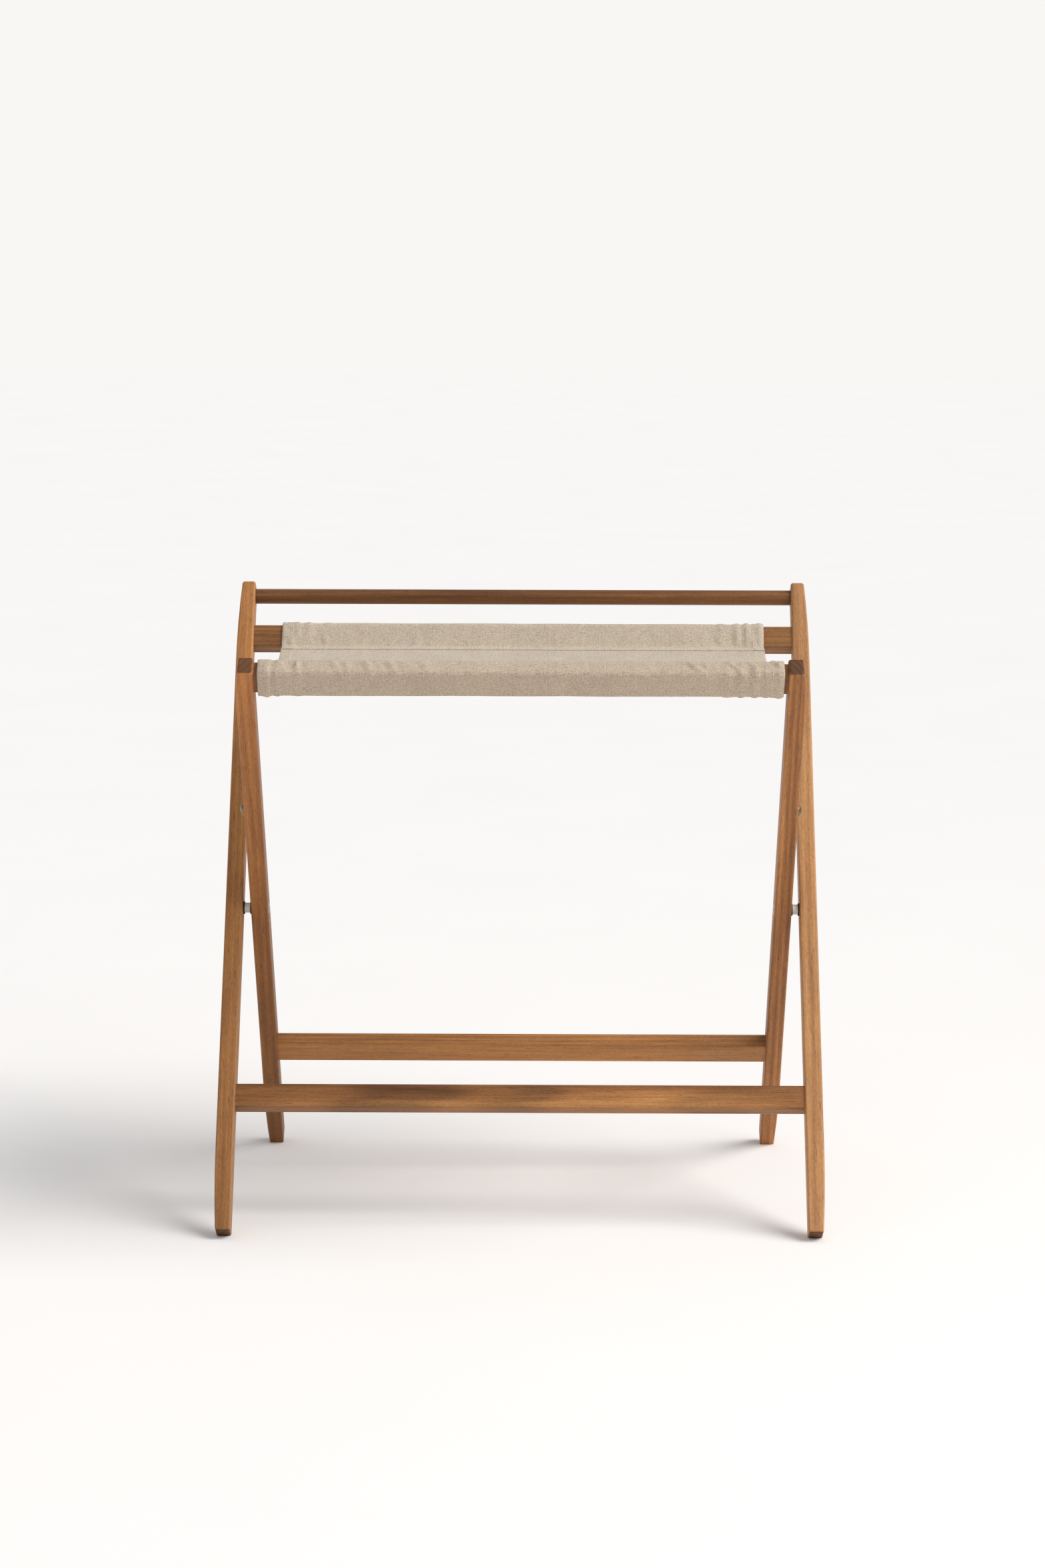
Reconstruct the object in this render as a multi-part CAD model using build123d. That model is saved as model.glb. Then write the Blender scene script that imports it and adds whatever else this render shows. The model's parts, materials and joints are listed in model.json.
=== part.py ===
from build123d import *

import math
import os

# Folding luggage rack: two crossed wooden frames turn on one pivot axis, and a cloth sling joins
# their top rails. The tall frame carries the handle and leans back, and the short frame stands
# between its legs and leans forward.
# +X is to the right, +Y to the back and +Z up. The origin is on the floor, in the middle of the
# bounding box. Lengths are in millimetres and angles in degrees.
# Along a frame, heights are counted from the pivot axis, up the leg.

# Overall sizes
FRAME_WIDTH = 650.0          # outside the tall legs
LEAN = 33.6                  # each frame from the vertical
LEG_BELOW_PIVOT = 374.0      # pivot axis to the square end of a foot
TALL_ABOVE_PIVOT = 400.0     # pivot axis to the top of a tall leg
SHORT_ABOVE_PIVOT = 352.5    # pivot axis to the top of a short leg

# Legs
LEG_WIDTH = 19.0             # across the rack
LEG_DEPTH = 25.0             # front to back, square to the leg
LEG_GAP = 9.0                # between a tall leg and the short leg beside it
LEG_EDGE_RADIUS = 2.0        # long edges
LEG_CORNER_RADIUS = 3.0      # corners at the ends, seen from the front
FOOT_TAPER = 3.0             # how far the outer face eases in at a foot
FOOT_TAPER_LENGTH = 95.0
TALL_TOP_TAPER = 4.0
TALL_TOP_TAPER_LENGTH = 100.0
SHORT_TOP_TAPER = 2.5
SHORT_TOP_TAPER_LENGTH = 60.0
FOOT_TRIM = 2.0              # wood taken off the lowest edge of a foot, so that it stands flat

# Rails and stretchers
RAIL_HEIGHT = 26.5           # along the leg
RAIL_DEPTH = 20.0
RAIL_EDGE_RADIUS = 2.5
REAR_RAIL_HEIGHT_UP = 332.0  # pivot axis to the middle of the tall frame's sling rail
FRONT_RAIL_HEIGHT_UP = 335.5
STRETCHER_DOWN = 222.0       # pivot axis down to the middle of both stretchers

# Handle
HANDLE_UP = 386.5
HANDLE_DIAMETER = 17.0
HANDLE_SOCKET_DEPTH = 9.0

# Glued dowel pins, two at each end of a rail or stretcher
PIN_DIAMETER = 6.0
PIN_LENGTH = 32.0
PIN_IN_LEG = 12.0
PIN_SPACING = 13.0

# Pivot: a connector bolt in the tall leg screws into a sleeve nut that carries the short leg
BOLT_DIAMETER = 6.0
BOLT_HEAD_DIAMETER = 13.0
BOLT_HEAD_HEIGHT = 2.5
HEX_SOCKET_WIDTH = 4.0       # across the flats
HEX_SOCKET_DEPTH = 1.8
SLEEVE_DIAMETER = 8.5
SLEEVE_IN_TALL_LEG = 6.0
BOLT_IN_SLEEVE_FROM_HEAD = 4.0
WASHER_DIAMETER = 14.0
WASHER_THICKNESS = 1.5
SPACER_DIAMETER = 11.0

# Domed bumper on the outer face of each short leg
BUMPER_UP = 148.5
BUMPER_DIAMETER = 14.5
BUMPER_HEIGHT = 4.8
BUMPER_STEM_DIAMETER = 4.0
BUMPER_STEM_LENGTH = 10.0

# Sling
CLOTH_THICKNESS = 2.0        # two layers of canvas
SLING_SAG = 18.0
TUNNEL_OUTER_RADIUS = 1.5

# Clearances
GLUE_CLEARANCE = 0.05        # round a pin, dowel or bolt that is fixed in its hole
RUNNING_CLEARANCE = 0.06     # round the sleeve nut in the short leg
FACE_CLEARANCE = 0.1         # between flat faces that turn on each other
END_CLEARANCE = 0.5          # past the end of a pin, dowel or bolt in its hole
CLOTH_CLEARANCE = 0.3        # between cloth and wood
SLING_SIDE_CLEARANCE = 4.0   # between an edge of the sling and the short leg beside it

# Derived places across the rack, from the middle outwards
TALL_OUTER = FRAME_WIDTH / 2
TALL_INNER = TALL_OUTER - LEG_WIDTH
SHORT_OUTER = TALL_INNER - LEG_GAP
SHORT_INNER = SHORT_OUTER - LEG_WIDTH
SLING_WIDTH = 2 * (SHORT_INNER - SLING_SIDE_CLEARANCE)

# Derived heights and sections
PIVOT_HEIGHT = (
    LEG_BELOW_PIVOT * math.cos(math.radians(LEAN))
    + LEG_DEPTH / 2 * math.sin(math.radians(LEAN))
    - FOOT_TRIM
)
TUNNEL_WALL = CLOTH_CLEARANCE + CLOTH_THICKNESS
TUNNEL_HALF_DEPTH = RAIL_DEPTH / 2 + TUNNEL_WALL
TUNNEL_HALF_HEIGHT = RAIL_HEIGHT / 2 + TUNNEL_WALL

TALL_FRAME = Location((0, 0, PIVOT_HEIGHT), (-LEAN, 0, 0))
SHORT_FRAME = Location((0, 0, PIVOT_HEIGHT), (LEAN, 0, 0))
SIDES = {"left": -1, "right": 1}


def round_bar(radius, start, end, y=0.0, z=0.0):
    """A cylinder along X from start to end."""
    bar = Cylinder(radius, abs(end - start), rotation=(0, 90, 0))
    return Pos((start + end) / 2, y, z) * bar


def on_side(shape, side):
    """The right-hand shape as it is, or its mirror image for the left."""
    return shape if side > 0 else mirror(shape, about=Plane.YZ)


def leg_outline(inner, outer, above, top_taper, top_length):
    """A leg from the front: the inner face is straight and the outer face eases in at both ends."""
    foot = -LEG_BELOW_PIVOT
    foot_start = foot + FOOT_TAPER_LENGTH
    top_start = above - top_length
    lines = [
        Line((inner, foot), (inner, above)),
        Line((inner, above), (outer - top_taper, above)),
        TangentArc((outer, top_start), (outer - top_taper, above), tangent=(0, 1)),
        Line((outer, top_start), (outer, foot_start)),
        TangentArc((outer, foot_start), (outer - FOOT_TAPER, foot), tangent=(0, -1)),
        Line((outer - FOOT_TAPER, foot), (inner, foot)),
    ]
    face = make_face(lines)
    ends = face.vertices().filter_by(lambda corner: corner.Y in (foot, above))
    return fillet(ends, LEG_CORNER_RADIUS)


def leg_blank(inner, above, top_taper, top_length):
    """A right-hand leg with rounded long edges, before its holes."""
    outline = leg_outline(inner, inner + LEG_WIDTH, above, top_taper, top_length)
    blank = extrude(Plane.XZ * outline, LEG_DEPTH / 2, both=True)
    faces = blank.faces().filter_by(Axis.Y)
    return fillet(faces.edges(), LEG_EDGE_RADIUS)


def pin_rows(middle):
    """The two heights of the dowel pins in a rail whose middle is at this height."""
    return [middle - PIN_SPACING / 2, middle + PIN_SPACING / 2]


def pin_sockets(face, middles):
    """Blind holes for the pins, from the leg's inner face outwards."""
    radius = PIN_DIAMETER / 2 + GLUE_CLEARANCE
    depth = PIN_IN_LEG + END_CLEARANCE
    return [round_bar(radius, face, face + depth, z=z) for middle in middles for z in pin_rows(middle)]


def stand_on_floor(leg, frame):
    """Put the leg in its frame and take off the edge that lies below the floor."""
    placed = frame * leg
    reach = 2 * LEG_BELOW_PIVOT
    below_floor = Pos(0, 0, -reach / 2) * Box(4 * reach, 4 * reach, reach)
    return placed - below_floor


def tall_leg(side):
    leg = leg_blank(TALL_INNER, TALL_ABOVE_PIVOT, TALL_TOP_TAPER, TALL_TOP_TAPER_LENGTH)
    head_seat = TALL_OUTER - BOLT_HEAD_HEIGHT
    head_hole = round_bar(BOLT_HEAD_DIAMETER / 2 + GLUE_CLEARANCE, head_seat, TALL_OUTER + 1)
    shank_hole = round_bar(BOLT_DIAMETER / 2 + GLUE_CLEARANCE, TALL_INNER, TALL_OUTER)
    sleeve_end = TALL_INNER + SLEEVE_IN_TALL_LEG + END_CLEARANCE
    sleeve_hole = round_bar(SLEEVE_DIAMETER / 2 + GLUE_CLEARANCE, TALL_INNER, sleeve_end)
    handle_end = TALL_INNER + HANDLE_SOCKET_DEPTH + END_CLEARANCE
    handle_hole = round_bar(HANDLE_DIAMETER / 2 + GLUE_CLEARANCE, TALL_INNER, handle_end, z=HANDLE_UP)
    leg = leg - [head_hole, shank_hole, sleeve_hole, handle_hole]
    leg = leg - pin_sockets(TALL_INNER, [REAR_RAIL_HEIGHT_UP, -STRETCHER_DOWN])
    return stand_on_floor(on_side(leg, side), TALL_FRAME)


def short_leg(side):
    leg = leg_blank(SHORT_INNER, SHORT_ABOVE_PIVOT, SHORT_TOP_TAPER, SHORT_TOP_TAPER_LENGTH)
    head_seat = SHORT_INNER + BOLT_HEAD_HEIGHT + FACE_CLEARANCE
    head_hole = round_bar(BOLT_HEAD_DIAMETER / 2 + CLOTH_CLEARANCE, SHORT_INNER - 1, head_seat)
    sleeve_hole = round_bar(SLEEVE_DIAMETER / 2 + RUNNING_CLEARANCE, SHORT_INNER, SHORT_OUTER)
    stem_end = SHORT_OUTER - BUMPER_STEM_LENGTH - END_CLEARANCE
    stem_radius = BUMPER_STEM_DIAMETER / 2 + GLUE_CLEARANCE
    stem_hole = round_bar(stem_radius, stem_end, SHORT_OUTER, z=BUMPER_UP)
    leg = leg - [head_hole, sleeve_hole, stem_hole]
    leg = leg - pin_sockets(SHORT_INNER, [FRONT_RAIL_HEIGHT_UP, -STRETCHER_DOWN])
    return stand_on_floor(on_side(leg, side), SHORT_FRAME)


def rail(half_length, middle, frame):
    """A flat rail or stretcher between two legs, with sockets for its pins."""
    bar = Box(2 * half_length, RAIL_DEPTH, RAIL_HEIGHT)
    bar = fillet(bar.edges().filter_by(Axis.X), RAIL_EDGE_RADIUS)
    bar = Pos(0, 0, middle) * bar
    radius = PIN_DIAMETER / 2 + GLUE_CLEARANCE
    depth = PIN_LENGTH - PIN_IN_LEG + END_CLEARANCE
    for side in SIDES.values():
        for z in pin_rows(middle):
            bar -= round_bar(radius, side * (half_length - depth), side * half_length, z=z)
    return frame * bar


def pins(half_length, middles, frame):
    """The dowel pins of one frame: two at each end of each of its rails."""
    start = half_length - (PIN_LENGTH - PIN_IN_LEG)
    end = half_length + PIN_IN_LEG
    bars = [
        round_bar(PIN_DIAMETER / 2, side * start, side * end, z=z)
        for middle in middles
        for side in SIDES.values()
        for z in pin_rows(middle)
    ]
    return frame * Compound(bars)


def handle():
    end = TALL_INNER + HANDLE_SOCKET_DEPTH
    return TALL_FRAME * round_bar(HANDLE_DIAMETER / 2, -end, end, z=HANDLE_UP)


def hex_socket(face, depth):
    """A hexagon-socket recess, from the head's outer face inwards."""
    recess = extrude(RegularPolygon(HEX_SOCKET_WIDTH / 2, 6, major_radius=False), depth)
    return Pos(face - depth, 0, 0) * (Rot(0, 90, 0) * recess)


def pivot_bolt(side):
    """Connector bolt: its head is flush in the tall leg's outer face."""
    head = round_bar(BOLT_HEAD_DIAMETER / 2, TALL_OUTER - BOLT_HEAD_HEIGHT, TALL_OUTER)
    tip = SHORT_INNER + BOLT_HEAD_HEIGHT + BOLT_IN_SLEEVE_FROM_HEAD
    shank = round_bar(BOLT_DIAMETER / 2, tip, TALL_OUTER - BOLT_HEAD_HEIGHT)
    bolt = head + shank - hex_socket(TALL_OUTER, HEX_SOCKET_DEPTH)
    return TALL_FRAME * on_side(bolt, side)


def sleeve_nut(side):
    """Sleeve nut: its head is flush in the short leg's inner face, and its barrel is the pivot."""
    head_end = SHORT_INNER + BOLT_HEAD_HEIGHT
    head = round_bar(BOLT_HEAD_DIAMETER / 2, SHORT_INNER, head_end)
    barrel_end = TALL_INNER + SLEEVE_IN_TALL_LEG
    barrel = round_bar(SLEEVE_DIAMETER / 2, head_end, barrel_end)
    thread_start = head_end + BOLT_IN_SLEEVE_FROM_HEAD - END_CLEARANCE
    thread = round_bar(BOLT_DIAMETER / 2 + GLUE_CLEARANCE, thread_start, barrel_end)
    socket = Pos(HEX_SOCKET_DEPTH, 0, 0) * hex_socket(SHORT_INNER, HEX_SOCKET_DEPTH)
    return TALL_FRAME * on_side(head + barrel - thread - socket, side)


def ring(outer_diameter, start, end, frame, side):
    """A washer or spacer round the sleeve nut."""
    hole = round_bar(SLEEVE_DIAMETER / 2 + RUNNING_CLEARANCE, start - 1, end + 1)
    return frame * on_side(round_bar(outer_diameter / 2, start, end) - hole, side)


def bumper(side):
    """A domed stud pressed into the short leg's outer face."""
    rim = BUMPER_DIAMETER / 2
    stem = BUMPER_STEM_DIAMETER / 2
    profile = make_face([
        Line((-BUMPER_STEM_LENGTH, 0), (BUMPER_HEIGHT, 0)),
        TangentArc((BUMPER_HEIGHT, 0), (0, rim), tangent=(0, 1)),
        Polyline((0, rim), (0, stem), (-BUMPER_STEM_LENGTH, stem), (-BUMPER_STEM_LENGTH, 0)),
    ])
    stud = Pos(SHORT_OUTER, 0, BUMPER_UP) * revolve(profile, Axis.X)
    return SHORT_FRAME * on_side(stud, side)


def tunnel_block(middle, frame, growth=0.0):
    """The outer shape of a cloth tunnel round a rail, optionally grown on every face."""
    block = Box(
        SLING_WIDTH + 2 * growth,
        2 * (TUNNEL_HALF_DEPTH + growth),
        2 * (TUNNEL_HALF_HEIGHT + growth),
    )
    block = fillet(block.edges().filter_by(Axis.X), TUNNEL_OUTER_RADIUS)
    return frame * (Pos(0, 0, middle) * block)


def tunnel(middle, frame):
    """The closed tunnel at one end of the sling."""
    hollow = Box(SLING_WIDTH + 2, RAIL_DEPTH + 2 * CLOTH_CLEARANCE, RAIL_HEIGHT + 2 * CLOTH_CLEARANCE)
    hollow = fillet(hollow.edges().filter_by(Axis.X), RAIL_EDGE_RADIUS)
    return tunnel_block(middle, frame) - frame * (Pos(0, 0, middle) * hollow)


def sling_panel():
    """The cloth between the tunnels: from low on the rear rail to high on the front rail."""
    inset = TUNNEL_OUTER_RADIUS + CLOTH_THICKNESS
    rear = TALL_FRAME * Pos(0, -RAIL_DEPTH / 2, REAR_RAIL_HEIGHT_UP - TUNNEL_HALF_HEIGHT + inset)
    front = SHORT_FRAME * Pos(0, RAIL_DEPTH / 2, FRONT_RAIL_HEIGHT_UP + TUNNEL_HALF_HEIGHT - inset)
    start = Vector(rear.position.Y, rear.position.Z)
    end = Vector(front.position.Y, front.position.Z)
    along = (end - start).normalized()
    up = Vector(along.Y, -along.X)
    half = up * (CLOTH_THICKNESS / 2)
    middle = (start + end) * 0.5 - up * SLING_SAG
    outline = make_face([
        ThreePointArc(start + half, middle + half, end + half),
        Line(end + half, end - half),
        ThreePointArc(end - half, middle - half, start - half),
        Line(start - half, start + half),
    ])
    sheet = extrude(Plane.YZ * outline, SLING_WIDTH / 2, both=True)
    sheet -= tunnel_block(REAR_RAIL_HEIGHT_UP, TALL_FRAME)
    return sheet - tunnel_block(FRONT_RAIL_HEIGHT_UP, SHORT_FRAME, CLOTH_CLEARANCE)


def tall_frame_parts():
    parts = {
        "handle_dowel": handle(),
        "rear_sling_rail": rail(TALL_INNER, REAR_RAIL_HEIGHT_UP, TALL_FRAME),
        "front_stretcher": rail(TALL_INNER, -STRETCHER_DOWN, TALL_FRAME),
        "tall_frame_dowel_pins": pins(TALL_INNER, [REAR_RAIL_HEIGHT_UP, -STRETCHER_DOWN], TALL_FRAME),
        "sling_rear_tunnel": tunnel(REAR_RAIL_HEIGHT_UP, TALL_FRAME),
        "sling_panel": sling_panel(),
    }
    washer_end = TALL_INNER - WASHER_THICKNESS
    spacer_start = SHORT_OUTER + WASHER_THICKNESS + FACE_CLEARANCE
    for name, side in SIDES.items():
        parts["tall_leg_" + name] = tall_leg(side)
        parts["pivot_bolt_" + name] = pivot_bolt(side)
        parts["sleeve_nut_" + name] = sleeve_nut(side)
        parts["outer_washer_" + name] = ring(WASHER_DIAMETER, washer_end, TALL_INNER, TALL_FRAME, side)
        parts["pivot_spacer_" + name] = ring(SPACER_DIAMETER, spacer_start, washer_end, TALL_FRAME, side)
    return parts


def short_frame_parts():
    parts = {
        "front_sling_rail": rail(SHORT_INNER, FRONT_RAIL_HEIGHT_UP, SHORT_FRAME),
        "rear_stretcher": rail(SHORT_INNER, -STRETCHER_DOWN, SHORT_FRAME),
        "short_frame_dowel_pins": pins(SHORT_INNER, [FRONT_RAIL_HEIGHT_UP, -STRETCHER_DOWN], SHORT_FRAME),
        "sling_front_tunnel": tunnel(FRONT_RAIL_HEIGHT_UP, SHORT_FRAME),
    }
    washer_end = SHORT_OUTER + WASHER_THICKNESS
    for name, side in SIDES.items():
        parts["short_leg_" + name] = short_leg(side)
        parts["inner_washer_" + name] = ring(WASHER_DIAMETER, SHORT_OUTER, washer_end, SHORT_FRAME, side)
        parts["bumper_" + name] = bumper(side)
    return parts


def centred(parts):
    """Move the whole rack in Y, so that the origin is in the middle of its bounding box."""
    box = Compound(list(parts.values())).bounding_box()
    offset = -(box.min.Y + box.max.Y) / 2
    return offset, {name: Pos(0, offset, 0) * shape for name, shape in parts.items()}


tall_parts = tall_frame_parts()
short_parts = short_frame_parts()
pivot_y, rack = centred({**tall_parts, **short_parts})

os.makedirs("parts", exist_ok=True)
for node, shape in rack.items():
    export_step(shape, "parts/" + node + ".step")
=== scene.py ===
import json
import math
import random

import bpy
import numpy as np
from mathutils import Matrix, Vector, noise

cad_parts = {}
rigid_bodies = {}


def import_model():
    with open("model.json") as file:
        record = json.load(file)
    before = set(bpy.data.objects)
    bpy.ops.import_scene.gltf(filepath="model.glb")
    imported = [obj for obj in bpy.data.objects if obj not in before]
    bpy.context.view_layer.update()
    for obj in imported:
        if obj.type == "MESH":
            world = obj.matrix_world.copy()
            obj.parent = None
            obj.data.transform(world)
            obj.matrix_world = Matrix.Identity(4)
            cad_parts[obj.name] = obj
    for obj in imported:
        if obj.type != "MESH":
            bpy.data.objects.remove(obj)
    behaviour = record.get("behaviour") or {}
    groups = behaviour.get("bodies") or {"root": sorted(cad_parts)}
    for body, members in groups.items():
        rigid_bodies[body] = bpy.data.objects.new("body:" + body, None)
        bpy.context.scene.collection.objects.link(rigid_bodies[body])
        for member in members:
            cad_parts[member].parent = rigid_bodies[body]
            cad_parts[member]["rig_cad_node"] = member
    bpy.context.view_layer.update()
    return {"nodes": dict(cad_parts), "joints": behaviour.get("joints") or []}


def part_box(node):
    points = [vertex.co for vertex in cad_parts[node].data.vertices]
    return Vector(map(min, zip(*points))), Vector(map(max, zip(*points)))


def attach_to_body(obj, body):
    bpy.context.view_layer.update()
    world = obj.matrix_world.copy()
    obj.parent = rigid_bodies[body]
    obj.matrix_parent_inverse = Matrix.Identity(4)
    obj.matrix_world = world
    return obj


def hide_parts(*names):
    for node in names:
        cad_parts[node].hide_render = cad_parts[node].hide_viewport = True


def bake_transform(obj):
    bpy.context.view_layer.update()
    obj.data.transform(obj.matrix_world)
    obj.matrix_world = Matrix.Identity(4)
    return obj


# Folding luggage rack. The wooden frames and their hardware are the CAD parts with new materials.
# The sling is made here: two sewn tunnels round the rails and a simulated panel between them.
# Everything is in metres, in the frame of the CAD model, unless a comment says otherwise.

SEED = 11

# Cloth
THICKNESS = 0.0011           # one layer
HEM_THICKNESS = 0.0019       # two pressed layers along the sides
HEM_WIDTH = 0.0135
HEM_STEP = 0.0012            # across which the hem rises from the single cloth
EDGE_FADE = 0.0011           # the cloth thins towards its side edge over this width
TIP_FADE = 0.0009            # and towards the tip of a flap
LAYER_GAP = 0.00012          # between the panel and the flaps that hold it

# Tunnels: gaps between cloth and rail, and where the cloth leaves the rail
REAR_GAPS = {"front": 0.0006, "top": 0.0006, "rear": 0.0005, "bottom": 0.001}
FRONT_GAPS = {"front": 0.0006, "top": 0.0021, "rear": 0.0006, "bottom": 0.0016}
TUNNEL_CORNER = 0.0016
FLAP_LENGTH = 0.0115         # a tunnel's upper flap, on the panel
UNDER_FLAP_LENGTH = 0.0155
UNDER_FLAP_FLAT = 0.0065     # the part of it that lies on the panel
REAR_WALL_START = 0.0055     # above the rear rail's underside
REAR_LEAVE = 0.008           # behind the rear tunnel's front face
FRONT_CREST = 0.0038         # ahead of the front tunnel's rear face
FRONT_LEAVE = 0.009          # above the front rail's underside
WRAP_CELL = 0.0021           # of the finished mesh, round a rail
REAR_JOINS = (0.0030, 0.005)     # roundness of the joins: upper flap to wrap, wrap to lower flap
FRONT_JOINS = (0.0022, 0.006)
WRAP_START = 0.006           # over which the flap turns into the wrap
WRAP_END = 0.02
SLACK = 0.0004               # between the cloth and its tight path
# further slack, sideways wander of a gather, sideways lean of the cloth: each with its size
BROAD_SLACK, BROAD_SIZE = 0.00045, 0.05
FINE_SLACK, FINE_SIZE = 0.00018, 0.017
WANDER, WANDER_SIZE = 0.0012, 0.012
LEAN, LEAN_SIZE = 0.0005, 0.03

# Puckers: ranges of the random ones, as shares of PUCKER_HEIGHT or in metres
PUCKER_HEIGHT = 0.0031
PANEL_PUCKER_HEIGHT = 0.0003
PUCKER_REACH = 0.016         # how far they run from the seam, fading out
PUCKER_LIMIT = 0.06
WRAP_PUCKER_REACH = 0.019
PUCKER_HEIGHTS = (0.35, 1.0)
PUCKER_WIDTHS = (0.003, 0.0065)
PUCKER_SLANTS = (-0.1, 0.7)  # sideways for each metre from the seam
PUCKER_SPACINGS = (0.011, 0.03)
PUCKER_INSET = 0.012         # from the cloth's side
PUCKER_FREE_MIDDLE = 0.03

# Panel
PANEL_START = (0.0012, 0.0040)   # ahead of the rear tunnel's inner face, below the rear rail
PANEL_END = (0.0012, 0.0008)     # ahead of the front rail's rear face, above its top
PANEL_SAG = 0.017
PINNED = 0.0165              # the ends of the panel that the flaps hold
FREE_STEP = 0.02             # over which its own folds begin
CELL = 0.0045                # of the simulated mesh
FINE = 0.0028                # of the finished mesh
EDGE_CELL = 0.0006           # of its edges
STORAGE_CREASES = ((0.33, 0.0011), (0.64, 0.0009))   # share of the length, height
CREASE_WIDTH = 0.007
GATHER = 0.006               # share of extra width at the seams
GATHER_REACH = 0.03
EXTRA_LENGTH = 1.0008
RIPPLES = ((0.0006, 0.035, 2), (0.0003, 0.012, 4))     # before the simulation: height, size, seed
# shallow folds from rail to rail, the way the canvas is pulled: height, width, length, seed
PULL_FOLDS = ((0.0006, 0.024, 0.17, 90.3), (0.0003, 0.011, 0.06, 41.7))
SIM_FRAMES = 26
CLOTH_SETTINGS = {
    "quality": 7, "mass": 0.25, "air_damping": 4,
    "tension_stiffness": 60, "compression_stiffness": 30,
    "shear_stiffness": 12, "bending_stiffness": 1.2,
    "tension_damping": 12, "compression_damping": 12,
    "shear_damping": 8, "bending_damping": 1.5,
}

# Folds seen in the photograph: place across, height, width, slant
FRONT_PUCKERS = [
    (-0.252, 1.3, 0.006, 0.35), (-0.234, 1.2, 0.005, 0.1), (-0.198, 1.1, 0.0055, 0.5),
    (-0.183, 0.8, 0.005, 0.2), (-0.163, 1.0, 0.0065, 0.4), (-0.137, 0.8, 0.006, 0.3),
    (-0.104, 0.7, 0.007, 0.5), (0.172, 1.3, 0.006, 0.9), (0.214, 1.2, 0.005, 0.8),
    (0.236, 1.0, 0.005, 0.5),
]
REAR_PUCKERS = [(-0.262, 0.8, 0.005, 0.0), (0.255, 0.8, 0.005, 0.0)]
# Gathers round the tunnels' ends: place across, width, height
REAR_GATHERS = [
    # the front tunnel's cloth gets painted shade: the same linen with a darker, warmer tint
    (-0.2565, 0.0045, 0.0017), (-0.243, 0.006, 0.0011), (-0.222, 0.008, 0.0006),
    (0.2435, 0.005, 0.0012), (0.2545, 0.0045, 0.0016), (0.226, 0.007, 0.0007),
    (0.2685, 0.004, 0.0010),
]
FRONT_GATHERS = [
    (-0.2645, 0.0045, 0.0015), (-0.2535, 0.0045, 0.0012), (-0.232, 0.007, 0.0006),
    (0.2145, 0.007, 0.0011), (0.229, 0.0045, 0.0014), (0.2435, 0.005, 0.0016),
    (0.2555, 0.0045, 0.0012), (0.268, 0.004, 0.0012),
]

# Stitches
THREAD_RADIUS = 0.00028
STITCH_LENGTH = 0.0026
STITCH_PITCH = 0.0036
STITCH_SIDES = 6
# share of the length, height and size in thread radii
STITCH_SECTIONS = (
    (-0.5, -0.6, 0.55), (-0.34, 0.35, 1.0), (0.0, 0.6, 1.1), (0.34, 0.35, 1.0), (0.5, -0.6, 0.55),
)
FLAP_STITCHES = (0.0028, 0.0046)     # from the upper flap's tip
UNDER_FLAP_STITCHES = 0.0035         # from the lower flap's tip
HEM_STITCHES = HEM_WIDTH - 0.0022    # from the cloth's side
TUNNEL_STITCH_ENDS = 0.006
PANEL_STITCH_ENDS = (0.014, 0.017)

# Wood: sRGB colours are 0 to 255
RING_SPACING = 0.0062
RING_WAVER = 0.05
PITH_RANGES = ((0.03, 0.06), (-0.05, 0.05))   # of the rings' centre, across the grain
LEG_ENDS = (0.02, 0.64)      # between which a leg's tone drifts
RAIL_ENDS = (-0.3, 0.3)
WOOD_ROUGHNESS = (0.41, 0.56)
PORE_COLOUR = (62, 38, 24)
# lighter edges: partly wear, partly painted highlight
EDGE_WEAR_AND_HIGHLIGHT_COLOUR = (214, 168, 124)
END_GRAIN = ((66, 42, 28), (80, 51, 34))
# darker and lighter stretches of the stretchers: place along the piece, gain
FRONT_FIGURE = (
    (-0.31, 0.90), (-0.215, 1.0), (-0.165, 0.64), (-0.09, 0.72), (-0.045, 1.04), (0.02, 0.76),
    (0.075, 1.12), (0.165, 1.24), (0.205, 0.90), (0.31, 1.12),
)
REAR_FIGURE = ((-0.29, 1.0), (-0.1, 1.04), (0.15, 1.02), (0.24, 0.84), (0.29, 0.9))

# Linen
WARP_PITCH = 0.00062
WEFT_PITCH = 0.00070
# painted shade: a darker, warmer tint for the front tunnel's cloth
FRONT_WRAP_PAINTED_SHADE_TINT = (0.93, 0.885, 0.85)

# Light
FLOOR_SIZE = 40.0
FLOOR_CELLS = 8
SKY_LIGHT = 0.55
SKY_COLOUR = (0.97, 0.985, 1.0, 1.0)
BACKDROP = 0.945             # what the camera sees directly
BACKDROP_COLOUR = (1.0, 0.984, 0.958, 1.0)
LAMP_COLOUR = (1.0, 0.985, 0.96)
KEY_LIGHT = 2.35
KEY_FROM = (0.66, -0.14, 0.74)
KEY_ANGLE = 40               # degrees: a wide sun gives soft shadows
SIDE_LIGHT = 9.0
SIDE_FROM = (1.7, -1.3, 1.3)
SIDE_AT = (0, 0, 0.4)
SIDE_SIZE = 1.2

# Camera: distances from the pivot axis, height above the floor, angles in degrees
CAMERA_BACK = 4.0029
CAMERA_SIDE = 0.00104
CAMERA_HEIGHT = 1.0847
CAMERA_TURN = 0.312
CAMERA_PITCH = 8.935
CAMERA_ROLL = 0.146
CAMERA_LENS = 84.9           # millimetres, on a 36 mm sensor


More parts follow.
